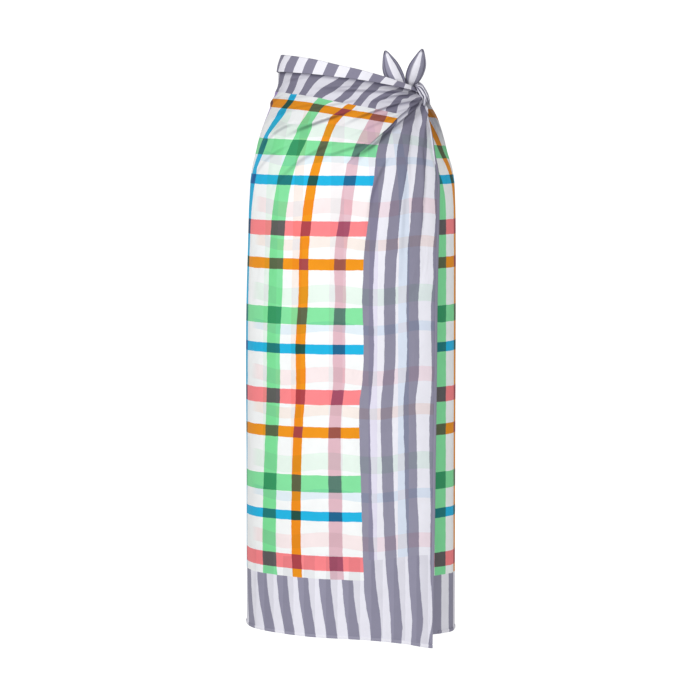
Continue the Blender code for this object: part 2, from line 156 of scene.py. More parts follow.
# painted soft shade: where the cloth crowds below the waist, beside the knot and under the turned
# band
shadeLook = {"front": 0.38, "frontReach": (0.045, 0.180), "back": 1.15, "backReach": (0.040, 0.150),
             "backAngle": -292.0, "backSpread": 18.0, "turn": 1.1, "turnReach": 0.0045, "most": 1.2}
# angle, rise and spread of the soft upright waves, which open towards the foot
waveRows = np.array([
    (-222.0, 0.0060, 12.0), (-190.0, 0.0046, 13.0), (-158.0, 0.0058, 12.0),
    (-128.0, 0.0040, 9.0), (-64.0, 0.0020, 10.0), (-20.0, 0.0014, 12.0), (71.0, 0.0022, 7.0),
])
wrap = {
    "wall": 0.0014,  # the solids' wall
    "seam": 0.0005,
    "layerGap": 0.0009,
    "cloth": 0.0005,  # thickness of the cloth that is seen
    "inWall": 0.0010,  # its outer face, measured from the wall's inner face
    "radius": 0.16,
    "frontEnd": -120.0,
    "backEnd": -325.0,
    "innerEnd": -428.0,
    "knotAngle": 62.0,
    "knotHeight": -0.036,
    "knotRise": 0.0028,
    "knotReach": 0.024,
    "flatHip": -271.0,  # at this hip the cloth is drawn flat
    "flatSpread": 15.0,
    "flatShare": 0.85,
}


def through(rows, key, value, at):  # a smooth curve through two columns, level past the ends
    xs, ys = rows[:, key], rows[:, value]
    if xs[0] > xs[-1]:
        xs, ys = xs[::-1], ys[::-1]
    slopes = np.gradient(ys, xs)
    slopes[0] = slopes[-1] = 0.0
    at = np.clip(np.asarray(at, dtype=float), xs[0], xs[-1])
    index = np.clip(np.searchsorted(xs, at) - 1, 0, len(xs) - 2)
    span = xs[index + 1] - xs[index]
    t = (at - xs[index]) / span
    return (ys[index] * (1 + 2 * t) * (1 - t)**2 + slopes[index] * span * t * (1 - t)**2
            + ys[index + 1] * t**2 * (3 - 2 * t) - slopes[index + 1] * span * t**2 * (1 - t))


def ease(value, start, end):  # 0 before start, 1 after end, smooth between
    t = np.clip((value - start) / (end - start), 0.0, 1.0)
    return t * t * (3.0 - 2.0 * t)


def bodyPoint(angle, height, offset):  # half ellipses front and back, moved out along their normal
    turn = np.radians(angle)
    halfWidth = through(figureRows, 0, 2, height)
    depth = np.where(np.cos(turn) >= 0.0, through(figureRows, 0, 3, height),
                     through(figureRows, 0, 4, height))
    x = through(figureRows, 0, 1, height) + halfWidth * np.sin(turn)
    y = -depth * np.cos(turn)
    nx, ny = np.sin(turn) / halfWidth, -np.cos(turn) / depth
    length = np.hypot(nx, ny)
    return np.stack([x + offset * nx / length, y + offset * ny / length, height + 0.0 * x], axis=-1)


def waistHeight(angle):  # the slanting waistline, read across the body, a little lower behind
    across = 0.130 * np.sin(np.radians(angle))
    drop = 0.004 * ease(-np.cos(np.radians(angle)), -0.2, 0.8)
    return through(waistRows, 0, 1, across) - drop


# Each pull is a ridge along a parabola through three places, soft above and steep below: its rise
# falls off with the distance from the curve, and a painted shade lies at the foot of its lower side.
def foldRise(folds, angle, height, steep):
    along = wrap["radius"] * np.radians(angle)
    total = np.zeros_like(along)
    shade = np.zeros_like(along)
    steps = np.linspace(0.0, 1.0, pullLook["steps"])
    for fold in folds:
        ends = np.stack([wrap["radius"] * np.radians(fold[[0, 2, 4]]), fold[[1, 3, 5]]], axis=1)
        control = 2.0 * ends[1] - 0.5 * (ends[0] + ends[2])
        line = (np.outer((1 - steps)**2, ends[0]) + np.outer(2 * steps * (1 - steps), control)
                + np.outer(steps**2, ends[2]))
        nearest = np.full_like(along, np.inf)
        rise = np.zeros_like(along)
        dark = np.zeros_like(along)
        for i in range(len(steps) - 1):
            step = line[i + 1] - line[i]
            dx, dz = along - line[i, 0], height - line[i, 1]
            t = np.clip((dx * step[0] + dz * step[1]) / (step @ step), 0.0, 1.0)
            awayX, awayZ = dx - t * step[0], dz - t * step[1]
            distance = np.hypot(awayX, awayZ)
            share = steps[i] + t * (steps[i + 1] - steps[i])
            width = fold[7] * (0.55 + 0.45 * share)
            lower = ease(-awayZ, -0.0010, 0.0014)
            width = width + (np.maximum(steep * width, pullLook["leastWidth"]) - width) * lower
            strength = fold[6] * (0.25 + ease(share, 0.0, 0.3)) * ease(1.0 - share, -0.05, 0.55)
            closer = distance < nearest
            nearest = np.where(closer, distance, nearest)
            ridge = strength * np.exp(-(distance / width)**pullLook["power"])
            rise = np.where(closer, ridge, rise)
            under = np.exp(-((distance / width - 0.9) / 0.7)**2) * lower
            dark = np.where(closer, under * strength / pullLook["shadeRise"], dark)
        total += rise
        shade = np.maximum(shade, dark)
    return total, shade


def waveRise(angle, height):  # a bell round each wave's angle, growing towards the foot
    opening = ease(-height, 0.22, 0.98)
    away = (angle[..., None] - waveRows[:, 0] + 180.0) % 360.0 - 180.0
    return (waveRows[:, 1] * np.exp(-(away / waveRows[:, 2])**2)).sum(axis=-1) * opening


def knotRise(angle, height):  # a round bell about the knot
    along = wrap["radius"] * np.radians((angle - wrap["knotAngle"] + 180.0) % 360.0 - 180.0)
    squared = along**2 + (height - wrap["knotHeight"])**2
    return wrap["knotRise"] * np.exp(-(squared / wrap["knotReach"]**2))


def depthBelowTurn(angle, height):  # metres below the loose edge of the turned band
    return waistHeight(angle) - through(turnRows, 0, 1, angle) - height


def belowTurn(angle, height):  # 0 under the turned band, 1 a little below its loose edge
    return ease(depthBelowTurn(angle, height), 0.001, 0.012)


def layerOffset(angle):  # the front steps out by one wall and its gap, over the stretch below it
    return (wrap["wall"] + wrap["layerGap"]) * ease(angle, -108.0, -72.0)


# Share runs from the free edge to the plain side and rise from hem to top. Rise is stretched above
# and below tuck["rise"], so that this one row of the grid lies along the tuck. The offset is the
# sum of the layer, the free edge that stands off, the pulls, the tuck's lip and the waves.
def frontSurface(share, rise):
    lifted = rise
    for _ in range(3):
        edge = through(edgeRows, 0, 1, -1.0 + 0.96 * lifted)
        angle = edge + (wrap["frontEnd"] - edge) * share
        foot = through(frontHemRows, 0, 1, angle)
        top = waistHeight(angle) - wrap["wall"] - wrap["seam"]
        atTuck = (through(tuckRows, 0, 1, angle) - foot) / (top - foot)
        lifted = np.where(rise <= tuck["rise"], rise * atTuck / tuck["rise"],
                          1.0 - (1.0 - rise) * (1.0 - atTuck) / (1.0 - tuck["rise"]))
    height = foot + (top - foot) * lifted
    flap = through(flapRows, 0, 1, height) * ease(angle, 14.0, 52.0)**1.2
    pulls, pullShade = foldRise(frontFolds, angle, height, pullLook["frontSteep"])
    fine, fineShade = foldRise(fineFolds, angle, height, pullLook["fineSteep"])
    below = belowTurn(angle, height)
    above = height - through(tuckRows, 0, 1, angle)
    full = through(tuckRows, 0, 2, angle) / tuckRows[0, 2]
    lip = full * ease(above, *tuck["jump"]) * np.exp(-np.maximum(above, 0.0) / tuck["lipReach"])
    underLip = full * (above < tuck["jump"][0]) * np.exp(-(above / tuck["shadeReach"])**2)
    creases = pullLook["front"] * pulls + fine + knotRise(angle, height) + tuck["lip"] * lip
    offset = layerOffset(angle) + flap + creases * below
    # painted shade: grey in the grooves below the pulls, where the cloth crowds below the waist,
    # under the turned band's loose edge and under the tuck's lip
    crowded = 1.0 - ease(waistHeight(angle) - height, *shadeLook["frontReach"])
    free = np.maximum(depthBelowTurn(angle, height), 0.0)
    underTurn = shadeLook["turn"] * np.exp(-(free / shadeLook["turnReach"])**2)
    grooves = pullLook["frontShade"] * pullShade + pullLook["fineShade"] * fineShade
    shade = np.clip(grooves * below + shadeLook["front"] * crowded + underTurn
                    + tuck["shade"] * underLip, 0.0, shadeLook["most"])
    return angle, height, offset + waveRise(angle, height), shade


# The same for the stretch between two angles: the offset is the sum of the pulls and the waves.
def backSurface(share, rise, start, end):
    angle = start + (end - start) * share
    foot = through(backHemRows, 0, 1, angle)
    top = waistHeight(angle) - wrap["wall"] - wrap["seam"]
    height = foot + (top - foot) * rise
    pulls, shade = foldRise(backFolds, angle, height, pullLook["backSteep"])
    fromHip = (angle - wrap["flatHip"]) / wrap["flatSpread"]
    tight = 1.0 - wrap["flatShare"] * np.exp(-fromHip**2)
    seen = ease(-angle, 308.0, 296.0) * belowTurn(angle, height)  # none under the front
    # painted shade: grey in the grooves below the pulls, and where the cloth crowds beside the knot
    crowded = 1.0 - ease(waistHeight(angle) - height, *shadeLook["backReach"])
    fromKnot = (angle - shadeLook["backAngle"]) / shadeLook["backSpread"]
    shade = shade * seen + shadeLook["back"] * crowded * np.exp(-fromKnot**2)
    shade = np.clip(shade, 0.0, shadeLook["most"])
    return angle, height, pullLook["back"] * pulls * tight * seen + waveRise(angle, height), shade


def backStretch(share, rise):
    return backSurface(share, rise, wrap["frontEnd"], wrap["backEnd"])


# Where each thread of the cloth lies
# u runs round the body from the free edge and v up from the hem, both in metres of flat cloth.
cut = {"wide": 1.80, "long": 1.09, "border": 0.127, "endBorder": 0.106, "period": 0.040,
       "grey": 0.0203, "firstGrey": 0.107, "foot": -0.994, "edgeAngle": 50.2, "hipHalfWidth": 0.187,
       "hipDepth": 0.118, "stiffness": 1.5e-5}
arcAngles = np.linspace(-440.0, 90.0, 1061)
arcSteps = np.hypot(cut["hipHalfWidth"] * np.cos(np.radians(arcAngles)),
                    cut["hipDepth"] * np.sin(np.radians(arcAngles)))
arcLengths = np.concatenate([[0.0], np.cumsum(0.5 * (arcSteps[1:] + arcSteps[:-1])
                                              * np.radians(np.diff(arcAngles)))])


def arcFromEdge(angle):  # metres of cloth from the free edge, on the section at the hips
    atEdge = np.interp(cut["edgeAngle"], arcAngles, arcLengths)
    return atEdge - np.interp(angle, arcAngles, arcLengths)


# Where threads lie once the knot has pulled them askew, read off the picture.
# The stripes beside the free edge: u of a stripe's edge, then its angle at each of these heights.
edgeThreadHeights = (-0.113, -0.130, -0.165, -0.217, -0.305, -0.392, -0.568, -0.745, -0.816,
                     -0.905, -0.940, -0.974)
edgeThreads = (
    (0.1270, 17.0, 15.0, 12.5, 9.5, 6.5, 5.5, 4.5, 5.5, 6.0, 7.0, 8.5, 10.5),
    (0.1070, 23.0, 21.0, 18.5, 15.5, 12.5, 11.5, 10.5, 11.0, 12.0, 14.0, 15.5, 16.5),
    (0.0880, 29.5, 27.5, 25.0, 21.0, 18.0, 17.5, 16.0, 17.0, 18.0, 20.0, 21.0, 21.5),
    (0.0675, 37.5, 35.5, 32.0, 27.5, 25.0, 24.0, 23.0, 23.5, 24.5, 26.5, 27.5, 28.5),
    (0.0475, 44.5, 42.5, 38.0, 34.0, 31.0, 30.5, 29.0, 30.0, 31.0, 32.5, 33.5, 34.0),
    (0.0265, 52.5, 50.5, 45.0, 41.5, 39.0, 38.0, 36.5, 37.5, 38.5, 39.5, 40.5, 41.0),
)
# the stripes of the border along the foot, in the same way
footThreadHeights = (-0.905, -0.941, -0.974)
footThreads = (
    (0.157, -1.5, -0.5, 1.0), (0.197, -14.0, -12.5, -11.0), (0.237, -26.5, -25.0, -23.0),
    (0.277, -40.0, -38.5, -36.0), (0.317, -56.5, -54.0, -50.5), (0.357, -75.0, -73.0, -70.0),
)
# threads that bend too much for that: u, then the angle and height of places along each
pulledThreads = (
    (0.0265, (57.5, -0.070), (54.5, -0.096)), (0.0475, (53.5, -0.069), (47, -0.096)),
    (0.0675, (58.5, -0.044), (50, -0.061), (45, -0.0785), (40.5, -0.096)),
    (0.0880, (38.5, -0.0645), (35.5, -0.078), (32.5, -0.096)),
    (0.1070, (28.5, -0.083), (25.5, -0.096)),
    (0.127, (60.5, -0.0385), (53.5, -0.040), (46.5, -0.044), (41, -0.056)),
    (0.137, (60, -0.036), (42, -0.045), (38, -0.0475)),
    (0.157, (55.5, -0.031), (45, -0.0375), (35, -0.045)),
    (0.168, (23.5, -0.061), (19, -0.078), (15.5, -0.095)),
    (0.177, (46.5, -0.028), (38, -0.032), (31.5, -0.038), (22, -0.0485)),
    (0.180, (18.5, -0.061), (13.5, -0.078), (-2, -0.168), (-5, -0.243), (-7, -0.39), (-8, -0.55)),
    (0.197, (43, -0.0245), (35.5, -0.028), (25.5, -0.0375), (16, -0.048)),
    (0.217, (37, -0.023), (23, -0.028), (19, -0.035), (13, -0.044)),
    (0.237, (22.5, -0.0155), (5, -0.050)),
    (0.269, (-15.5, -0.061), (-22, -0.104), (-29, -0.169), (-33, -0.244), (-36, -0.47)),
    (0.277, (8.5, -0.0085), (-12, -0.052)), (0.317, (-4.5, -0.005), (-25, -0.038)),
    (0.357, (-26, 0.002), (-41, -0.046)),
    (0.358, (-45, -0.061), (-55, -0.105), (-63, -0.171), (-69, -0.247), (-70.5, -0.48)),
    (0.397, (-46.5, 0.005), (-56, -0.042)), (0.437, (-72, -0.006)),
)
# the free edge itself is the thread at u = 0
edgeHeights = (-0.045, -0.075, -0.11, -0.16, -0.25, -0.36, -0.56, -0.75, -0.87, -0.99)


def spread(squared):  # the kernel of a bent thin plate, r squared times log r
    return squared * np.log(np.maximum(squared, 1e-12)) * 0.5


def tuckHidden(angle, height):  # cloth hidden in the tuck, for the side above it
    above = height - through(tuckRows, 0, 1, angle)
    return through(tuckRows, 0, 2, angle) * ease(above, *tuck["jump"])


def pinnedDrag():  # a thin plate bent through the pins: how far each thread is dragged along
    pins = [(0.0, float(through(edgeRows, 0, 1, level)), level) for level in edgeHeights]
    for heights, rows in ((edgeThreadHeights, edgeThreads), (footThreadHeights, footThreads)):
        pins += [(row[0], angle, level) for row in rows for angle, level in zip(row[1:], heights)]
    pins += [(row[0], *place) for row in pulledThreads for place in row[1:]]
    u, angle, height = np.array(pins).T
    spots = np.stack([wrap["radius"] * np.radians(angle), height], axis=1)
    gaps = ((spots[:, None, :] - spots[None, :, :])**2).sum(axis=-1)
    flat = np.concatenate([np.ones((len(spots), 1)), spots], axis=1)
    corner = np.zeros((3, 3))
    bent = spread(gaps) + cut["stiffness"] * np.eye(len(spots))
    system = np.block([[bent, flat], [flat.T, corner]])
    drag = u - arcFromEdge(angle) - tuckHidden(angle, height)
    return spots, np.linalg.solve(system, np.concatenate([drag, np.zeros(3)]))


pinSpots, pinWeights = pinnedDrag()
# angle, how far the threads are dragged along at the top, on the plain side and round the back
dragRows = np.array([(-430.0, 0.0), (-330.0, -0.06), (-285.0, -0.075), (-240.0, -0.050),
                     (-200.0, -0.020), (-160.0, 0.020), (-120.0, 0.060), (-85.0, 0.085)])


# The arc from the free edge, plus what the thin plate and the tuck drag along; round the back the
# drag fades out below the hips.
def clothU(angle, height):
    points = np.stack([wrap["radius"] * np.radians(angle), height], axis=-1)
    drag = pinWeights[-3] + points @ pinWeights[-2:]
    for spot, weight in zip(pinSpots, pinWeights[:-3]):
        drag = drag + weight * spread(((points - spot)**2).sum(axis=-1))
    far = through(dragRows, 0, 1, angle) * ease(height, -0.24, 0.02)
    far = far + 0.018 * ease(-height, 0.84, 1.0) * ease(angle, -260.0, -180.0)
    drag = drag + tuckHidden(angle, height)
    side = ease(-angle, 74.0, 104.0)
    return arcFromEdge(angle) + drag * (1.0 - side) + far * side


# The height above the hem; near the top it makes up the rest of the cloth's length.
def clothV(angle, height, foot):
    top = waistHeight(angle)
    extra = cut["long"] - through(turnRows, 0, 1, angle) - top + cut["foot"]
    extra = extra * (1.0 - 0.62 * ease(-angle, 245.0, 284.0))  # there the knot takes it up
    low = -(foot - cut["foot"]) * ease(-height, 0.70, 0.99)
    return height - cut["foot"] + extra * (1.0 - ease(top - height, -0.01, 0.17)) + low


def threadMap(angle, height, hemRows):
    foot = through(hemRows, 0, 1, angle)
    return np.stack([clothU(angle, height), clothV(angle, height, foot)], axis=-1)


# Meshes
def stripe(count, fineFrom, fineShare):  # 0 to 1, with fineShare of the steps past fineFrom
    fine = int(round(count * fineShare))
    return np.concatenate([np.linspace(0.0, fineFrom, count - fine + 1),
                           np.linspace(fineFrom, 1.0, fine + 1)[1:]])


def gridNormals(points):  # across both directions of the grid
    du = np.gradient(points, axis=0)
    dv = np.gradient(points, axis=1)
    normal = np.cross(du, dv)
    return normal / np.maximum(np.linalg.norm(normal, axis=-1, keepdims=True), 1e-12)


# One object from arrays of points and four-cornered faces, with its UV maps and values
def meshPiece(name, points, quads, maps, finish, sharp=50.0, values=None):
    mesh = bpy.data.meshes.new(name)
    mesh.vertices.add(len(points))
    mesh.vertices.foreach_set("co", points.astype(np.float32).ravel())
    mesh.loops.add(quads.size)
    mesh.loops.foreach_set("vertex_index", quads.astype(np.int32).ravel())
    mesh.polygons.add(len(quads))
    mesh.polygons.foreach_set("loop_start", np.arange(0, quads.size, 4, dtype=np.int32))
    for mapName, spots in maps.items():
        layer = mesh.uv_layers.new(name=mapName)
        layer.data.foreach_set("uv", spots[quads.ravel()].astype(np.float32).ravel())
    for valueName, numbers in (values or {}).items():
        layer = mesh.attributes.new(valueName, "FLOAT", "POINT")
        layer.data.foreach_set("value", numbers.astype(np.float32))
    mesh.update(calc_edges=True)
    mesh.validate()
    mesh.shade_smooth()
    mesh.set_sharp_from_angle(angle=math.radians(sharp))
    mesh.materials.append(finish)
    piece = bpy.data.objects.new(name, mesh)
    bpy.context.scene.collection.objects.link(piece)
    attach(piece, "root")
    return piece


# A grid of points, a second one a thickness behind it, and a rim that closes the two
def shell(name, outer, maps, finish, thickness, values=None):
    rows, columns = outer.shape[:2]
    inner = outer - thickness * gridNormals(outer)
    points = np.concatenate([outer.reshape(-1, 3), inner.reshape(-1, 3)])
    index = np.arange(rows * columns).reshape(rows, columns)
    face = np.stack([index[:-1, :-1], index[1:, :-1], index[1:, 1:], index[:-1, 1:]],
                    axis=-1).reshape(-1, 4)
    back = face[:, ::-1] + rows * columns
    loop = np.concatenate([index[:, 0], index[-1, 1:], index[-2::-1, -1], index[0, -2:0:-1]])
    after = np.roll(loop, -1)
    rim = np.stack([after, loop, loop + rows * columns, after + rows * columns], axis=-1)
    quads = np.concatenate([face, back, rim])
    doubled = {key: np.concatenate([spots.reshape(-1, 2)] * 2) for key, spots in maps.items()}
    both = {key: np.concatenate([numbers.ravel()] * 2) for key, numbers in (values or {}).items()}
    return meshPiece(name, points, quads, doubled, finish, values=both)


# Finishes
def setInput(tree, socket, value):  # value is a number, a tuple or another node's output
    if isinstance(value, bpy.types.NodeSocket):
        tree.links.new(value, socket)
    else:
        socket.default_value = value


def addNode(tree, kind, inputs):
    node = tree.nodes.new(kind)
    for name, value in inputs.items():
        setInput(tree, node.inputs[name], value)
    return node


def mathNode(tree, operation, a, b=None, c=None):
    node = tree.nodes.new("ShaderNodeMath")
    node.operation = operation
    for socket, value in zip(node.inputs, (a, b, c)):
        if value is not None:
            setInput(tree, socket, value)
    return node.outputs[0]


def mixColour(tree, share, a, b, blend="MIX"):
    node = tree.nodes.new("ShaderNodeMix")
    node.data_type = "RGBA"
    node.blend_type = blend
    for name, value in (("Factor_Float", share), ("A_Color", a), ("B_Color", b)):
        socket = next(one for one in node.inputs if one.identifier == name)
        setInput(tree, socket, (*value, 1.0) if isinstance(value, tuple) else value)
    return next(one for one in node.outputs if one.identifier == "Result_Color")


def linear(r, g, b):  # screen colour, 0 to 255, to the shader's own scale
    values = np.array([r, g, b]) / 255.0
    return tuple(float(v) for v in np.where(values <= 0.04045, values / 12.92,
                                            ((values + 0.055) / 1.055)**2.4))


dyesAndPaintedLight = {
    "ground": linear(247, 249, 249),
    "borderWhite": linear(236, 235, 244),
    "grey": linear(133, 130, 150),
    # the stripes' grey near the foot, made lighter as painted light
    "greyPaintedLitFoot": linear(150, 148, 168),
    "turquoise": linear(22, 180, 226),
    "orange": linear(238, 148, 12),
    "mint": linear(132, 226, 160),
    "coral": linear(250, 134, 138),
    "pink": linear(226, 190, 200),
    "lilac": linear(186, 162, 224),
    "navy": linear(24, 48, 98),
    # not a dye: the grey of the painted shade
    "paintedShadeGrey": linear(150, 148, 160),
}
# a plain woven check: for each band its colour, its width and the ground after it, in metres
plaid = {
    "across": (("pink", 0.024, 0.050), ("orange", 0.018, 0.031), ("mint", 0.028, 0.056),
               ("turquoise", 0.020, 0.036), ("lilac", 0.016, 0.046)),
    "acrossStart": 0.163,
    "up": (("coral", 0.026, 0.062), ("turquoise", 0.018, 0.034), ("mint", 0.030, 0.066),
           ("orange", 0.020, 0.040)),
    "upStart": 0.121,
}


# A stepped ramp over one repeat: opaque where a band lies and clear where the ground shows.
def bandRamp(tree, coordinate, bands, start):
    repeat = sum(width + gap for _, width, gap in bands)
    along = mathNode(tree, "SUBTRACT", coordinate, start)
    place = mathNode(tree, "FRACT", mathNode(tree, "DIVIDE", along, repeat))
    node = tree.nodes.new("ShaderNodeValToRGB")
    node.color_ramp.interpolation = "CONSTANT"
    tree.links.new(place, node.inputs[0])
    stops = []
    at = 0.0
    for colour, width, gap in bands:
        stops += [(at / repeat, (*dyesAndPaintedLight[colour], 1.0)), ((at + width) / repeat, (*dyesAndPaintedLight[colour], 0.0))]
        at += width + gap
    ramp = node.color_ramp.elements
    ramp[0].position, ramp[0].color = stops[0]
    ramp[1].position, ramp[1].color = stops[-1]
    for position, colour in stops[1:-1]:
        ramp.new(position).color = colour
    return node.outputs["Color"], node.outputs["Alpha"]


printLook = {"waver": 60.0, "waverReach": 0.0022, "lightFoot": 0.2, "crossNavy": 0.5}


# Grey and white stripes along v, with the woven check inside the borders. The edges waver a little.
def printColour(tree, mapName):
    uv = tree.nodes.new("ShaderNodeUVMap")
    uv.uv_map = mapName
    waver = addNode(tree, "ShaderNodeTexNoise",
                    {"Vector": uv.outputs[0], "Scale": printLook["waver"], "Detail": 2.0})
    reach = (printLook["waverReach"], printLook["waverReach"], 0.0)
    moved = tree.nodes.new("ShaderNodeVectorMath")
    moved.operation = "MULTIPLY_ADD"
    for socket, value in zip(moved.inputs, (waver.outputs["Color"], reach, uv.outputs[0])):
        setInput(tree, socket, value)
    split = addNode(tree, "ShaderNodeSeparateXYZ", {"Vector": moved.outputs[0]})
    u = mathNode(tree, "SUBTRACT", split.outputs["X"], 0.5 * printLook["waverReach"])
    v = mathNode(tree, "SUBTRACT", split.outputs["Y"], 0.5 * printLook["waverReach"])
    fromGrey = mathNode(tree, "SUBTRACT", u, cut["firstGrey"])
    phase = mathNode(tree, "FRACT", mathNode(tree, "DIVIDE", fromGrey, cut["period"]))
    isGrey = mathNode(tree, "LESS_THAN", phase, cut["grey"] / cut["period"])
    # painted light: the grey stripes lighten towards the foot, as if the lower cloth were lit more
    # brightly than the waist
    rising = mathNode(tree, "SMOOTH_MIN", v, 1.0, printLook["lightFoot"])
    greys = mixColour(tree, rising, dyesAndPaintedLight["greyPaintedLitFoot"], dyesAndPaintedLight["grey"])
    striped = mixColour(tree, isGrey, dyesAndPaintedLight["borderWhite"], greys)
    acrossColour, acrossHere = bandRamp(tree, u, plaid["across"], plaid["acrossStart"])
    upColour, upHere = bandRamp(tree, v, plaid["up"], plaid["upStart"])
    woven = mixColour(tree, acrossHere, dyesAndPaintedLight["ground"], acrossColour)
    woven = mixColour(tree, upHere, woven, upColour)
    crossed = mixColour(tree, 1.0, acrossColour, upColour, "MULTIPLY")
    crossed = mixColour(tree, printLook["crossNavy"], crossed, dyesAndPaintedLight["navy"])
    woven = mixColour(tree, mathNode(tree, "MULTIPLY", acrossHere, upHere), woven, crossed)
    inside = 1.0
    for place, margin, whole in ((u, cut["border"], cut["wide"]), (v, cut["endBorder"], cut["long"])):
        for test, limit in (("GREATER_THAN", margin), ("LESS_THAN", whole - margin)):
            inside = mathNode(tree, "MULTIPLY", inside, mathNode(tree, test, place, limit))
    return mixColour(tree, inside, striped, woven), u, v


weave = {"thread": 0.00055, "threadDepth": 0.00003, "wrinkle": 24.0, "wrinkleDepth": 0.0045,
         "wrinkleHang": 0.45, "wrinkleStrength": 0.55, "paintedShadeStrength": 0.75, "layerBelow": 0.20,
         "mottle": 38.0, "mottleSpread": 0.10, "roughness": 0.82, "sheen": 0.12, "shine": 0.25}


# The print, with the layer below faintly through it where ghost says so, a painted grey shade in the
# creases and the other shaded places each piece marks, a slight mottle, and bumps for the wrinkles
# and the crossing threads.
def clothFinish(name, ghost):
    made = bpy.data.materials.new(name)
    made.use_nodes = True
    tree = made.node_tree
    shader = tree.nodes["Principled BSDF"]
    colour, u, v = printColour(tree, "cloth")
    if ghost:
        below, _, _ = printColour(tree, "below")
        seen = tree.nodes.new("ShaderNodeAttribute")
        seen.attribute_name = "ghost"
        shade = mixColour(tree, seen.outputs["Fac"], (1.0, 1.0, 1.0), below)
        shaded = mixColour(tree, 1.0, colour, shade, "MULTIPLY")
        colour = mixColour(tree, weave["layerBelow"], colour, shaded)
    # painted shade: the colour is drawn towards a grey where the piece's shade value is high
    paintedShade = tree.nodes.new("ShaderNodeAttribute")
    paintedShade.attribute_name = "paintedShade"
    creased = mathNode(tree, "MULTIPLY", paintedShade.outputs["Fac"], weave["paintedShadeStrength"])
    colour = mixColour(tree, creased, colour, dyesAndPaintedLight["paintedShadeGrey"], "MULTIPLY")
    inSpace = tree.nodes.new("ShaderNodeTexCoord").outputs["Object"]
    hanging = addNode(tree, "ShaderNodeMapping",
                      {"Vector": inSpace, "Scale": (1.0, 1.0, weave["wrinkleHang"])})
    mottle = addNode(tree, "ShaderNodeTexNoise",
                     {"Vector": inSpace, "Scale": weave["mottle"], "Detail": 4.0})
    soft = mathNode(tree, "MULTIPLY_ADD", mottle.outputs["Fac"], weave["mottleSpread"],
                    1.0 - 0.5 * weave["mottleSpread"])
    uneven = addNode(tree, "ShaderNodeHueSaturation", {"Value": soft, "Color": colour})
    perMetre = math.tau / weave["thread"]
    threads = mathNode(tree, "MULTIPLY",
                       mathNode(tree, "SINE", mathNode(tree, "MULTIPLY", u, perMetre)),
                       mathNode(tree, "SINE", mathNode(tree, "MULTIPLY", v, perMetre)))
    wrinkles = addNode(tree, "ShaderNodeTexNoise",
                       {"Vector": hanging.outputs[0], "Scale": weave["wrinkle"], "Detail": 3.0,
                        "Distortion": 0.6})
    wrinkleBump = addNode(tree, "ShaderNodeBump",
                          {"Height": wrinkles.outputs["Fac"], "Distance": weave["wrinkleDepth"],
                           "Strength": weave["wrinkleStrength"]})
    threadBump = addNode(tree, "ShaderNodeBump",
                         {"Height": threads, "Distance": weave["threadDepth"],
                          "Normal": wrinkleBump.outputs[0]})
    for name, value in (("Base Color", uneven.outputs[0]), ("Normal", threadBump.outputs[0]),
                        ("Roughness", weave["roughness"]), ("Sheen Weight", weave["sheen"]),
                        ("Sheen Roughness", 0.5), ("Specular IOR Level", weave["shine"])):
        setInput(tree, shader.inputs[name], value)
    return made


outerCloth = clothFinish("printedCotton", True)
plainCloth = clothFinish("printedCottonSingle", False)
print("finishes made")

# The wound cloth
# for each grid: steps, where the finer ones start and what share of them is finer
grids = {
    "frontColumns": (206, 0.38, 0.74),
    "frontRows": (214, 0.79, 0.74),
    "backColumns": (150, 0.42, 0.62),
    "backRows": (150, 0.79, 0.66),
    "innerRows": (70, 0.79, 0.5),
    "innerColumns": 61,
}
# the layer below, as it shows through the front: how it lies and where it starts
under = {"drop": 0.037, "waver": 0.004, "waves": 7.0, "fromAngle": (-70.0, -60.0),
         "fromWaist": (0.070, 0.110)}
frontShares = 1.0 - stripe(*grids["frontColumns"])
frontRises = np.union1d(stripe(*grids["frontRows"]), [tuck["rise"], tuck["rise"] + tuck["step"]])
shares, rises = np.meshgrid(frontShares, frontRises, indexing="ij")
angle, height, offset, shade = frontSurface(shares, rises)
belowFoot = through(backHemRows, 0, 1, angle - 360.0)
belowV = (clothV(angle, height, belowFoot) - under["drop"]
          + under["waver"] * np.sin(np.radians(under["waves"] * angle)))
belowUv = np.stack([arcFromEdge(angle - 360.0), belowV], axis=-1)
ghostShare = (ease(angle, *under["fromAngle"])
              * ease(waistHeight(angle) - height, *under["fromWaist"]))
frontPiece = shell("front_cloth", bodyPoint(angle, height, offset + wrap["inWall"]),
                   {"cloth": threadMap(angle, height, frontHemRows), "below": belowUv}, outerCloth,
                   wrap["cloth"], {"ghost": ghostShare, "paintedShade": shade})
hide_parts("front_wrap")
print("front cloth made")

backShares = 1.0 - stripe(*grids["backColumns"])
backRises = stripe(*grids["backRows"])
shares, rises = np.meshgrid(backShares, backRises, indexing="ij")
angle, height, offset, shade = backStretch(shares, rises)
backPiece = shell("back_cloth", bodyPoint(angle, height, offset + wrap["inWall"]),
                  {"cloth": threadMap(angle, height, backHemRows)}, plainCloth,
                  wrap["cloth"], {"paintedShade": shade})
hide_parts("back_wrap")

shares, rises = np.meshgrid(1.0 - np.linspace(0.0, 1.0, grids["innerColumns"]),
                            stripe(*grids["innerRows"]), indexing="ij")
angle, height, offset, _ = backSurface(shares, rises, wrap["backEnd"], wrap["innerEnd"])
innerPiece = shell("inner_cloth", bodyPoint(angle, height, offset + wrap["inWall"]),
                   {"cloth": threadMap(angle, height, backHemRows)}, plainCloth,
                   wrap["cloth"])
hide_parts("inner_wrap")
print("back and inner cloth made")

# The turned-down top
turn = {"first": 63.5, "last": -284.0, "columns": 420, "rows": 34, "foldAt": 0.75, "flare": 0.0016,
        "widest": 0.0295, "roll": 0.0007, "ripple": 0.0007, "ripples": 9.0, "dent": 0.0009,
        "dentAngle": -62.0, "dentSpread": 7.0, "lean": 0.0088, "thick": 0.0006}
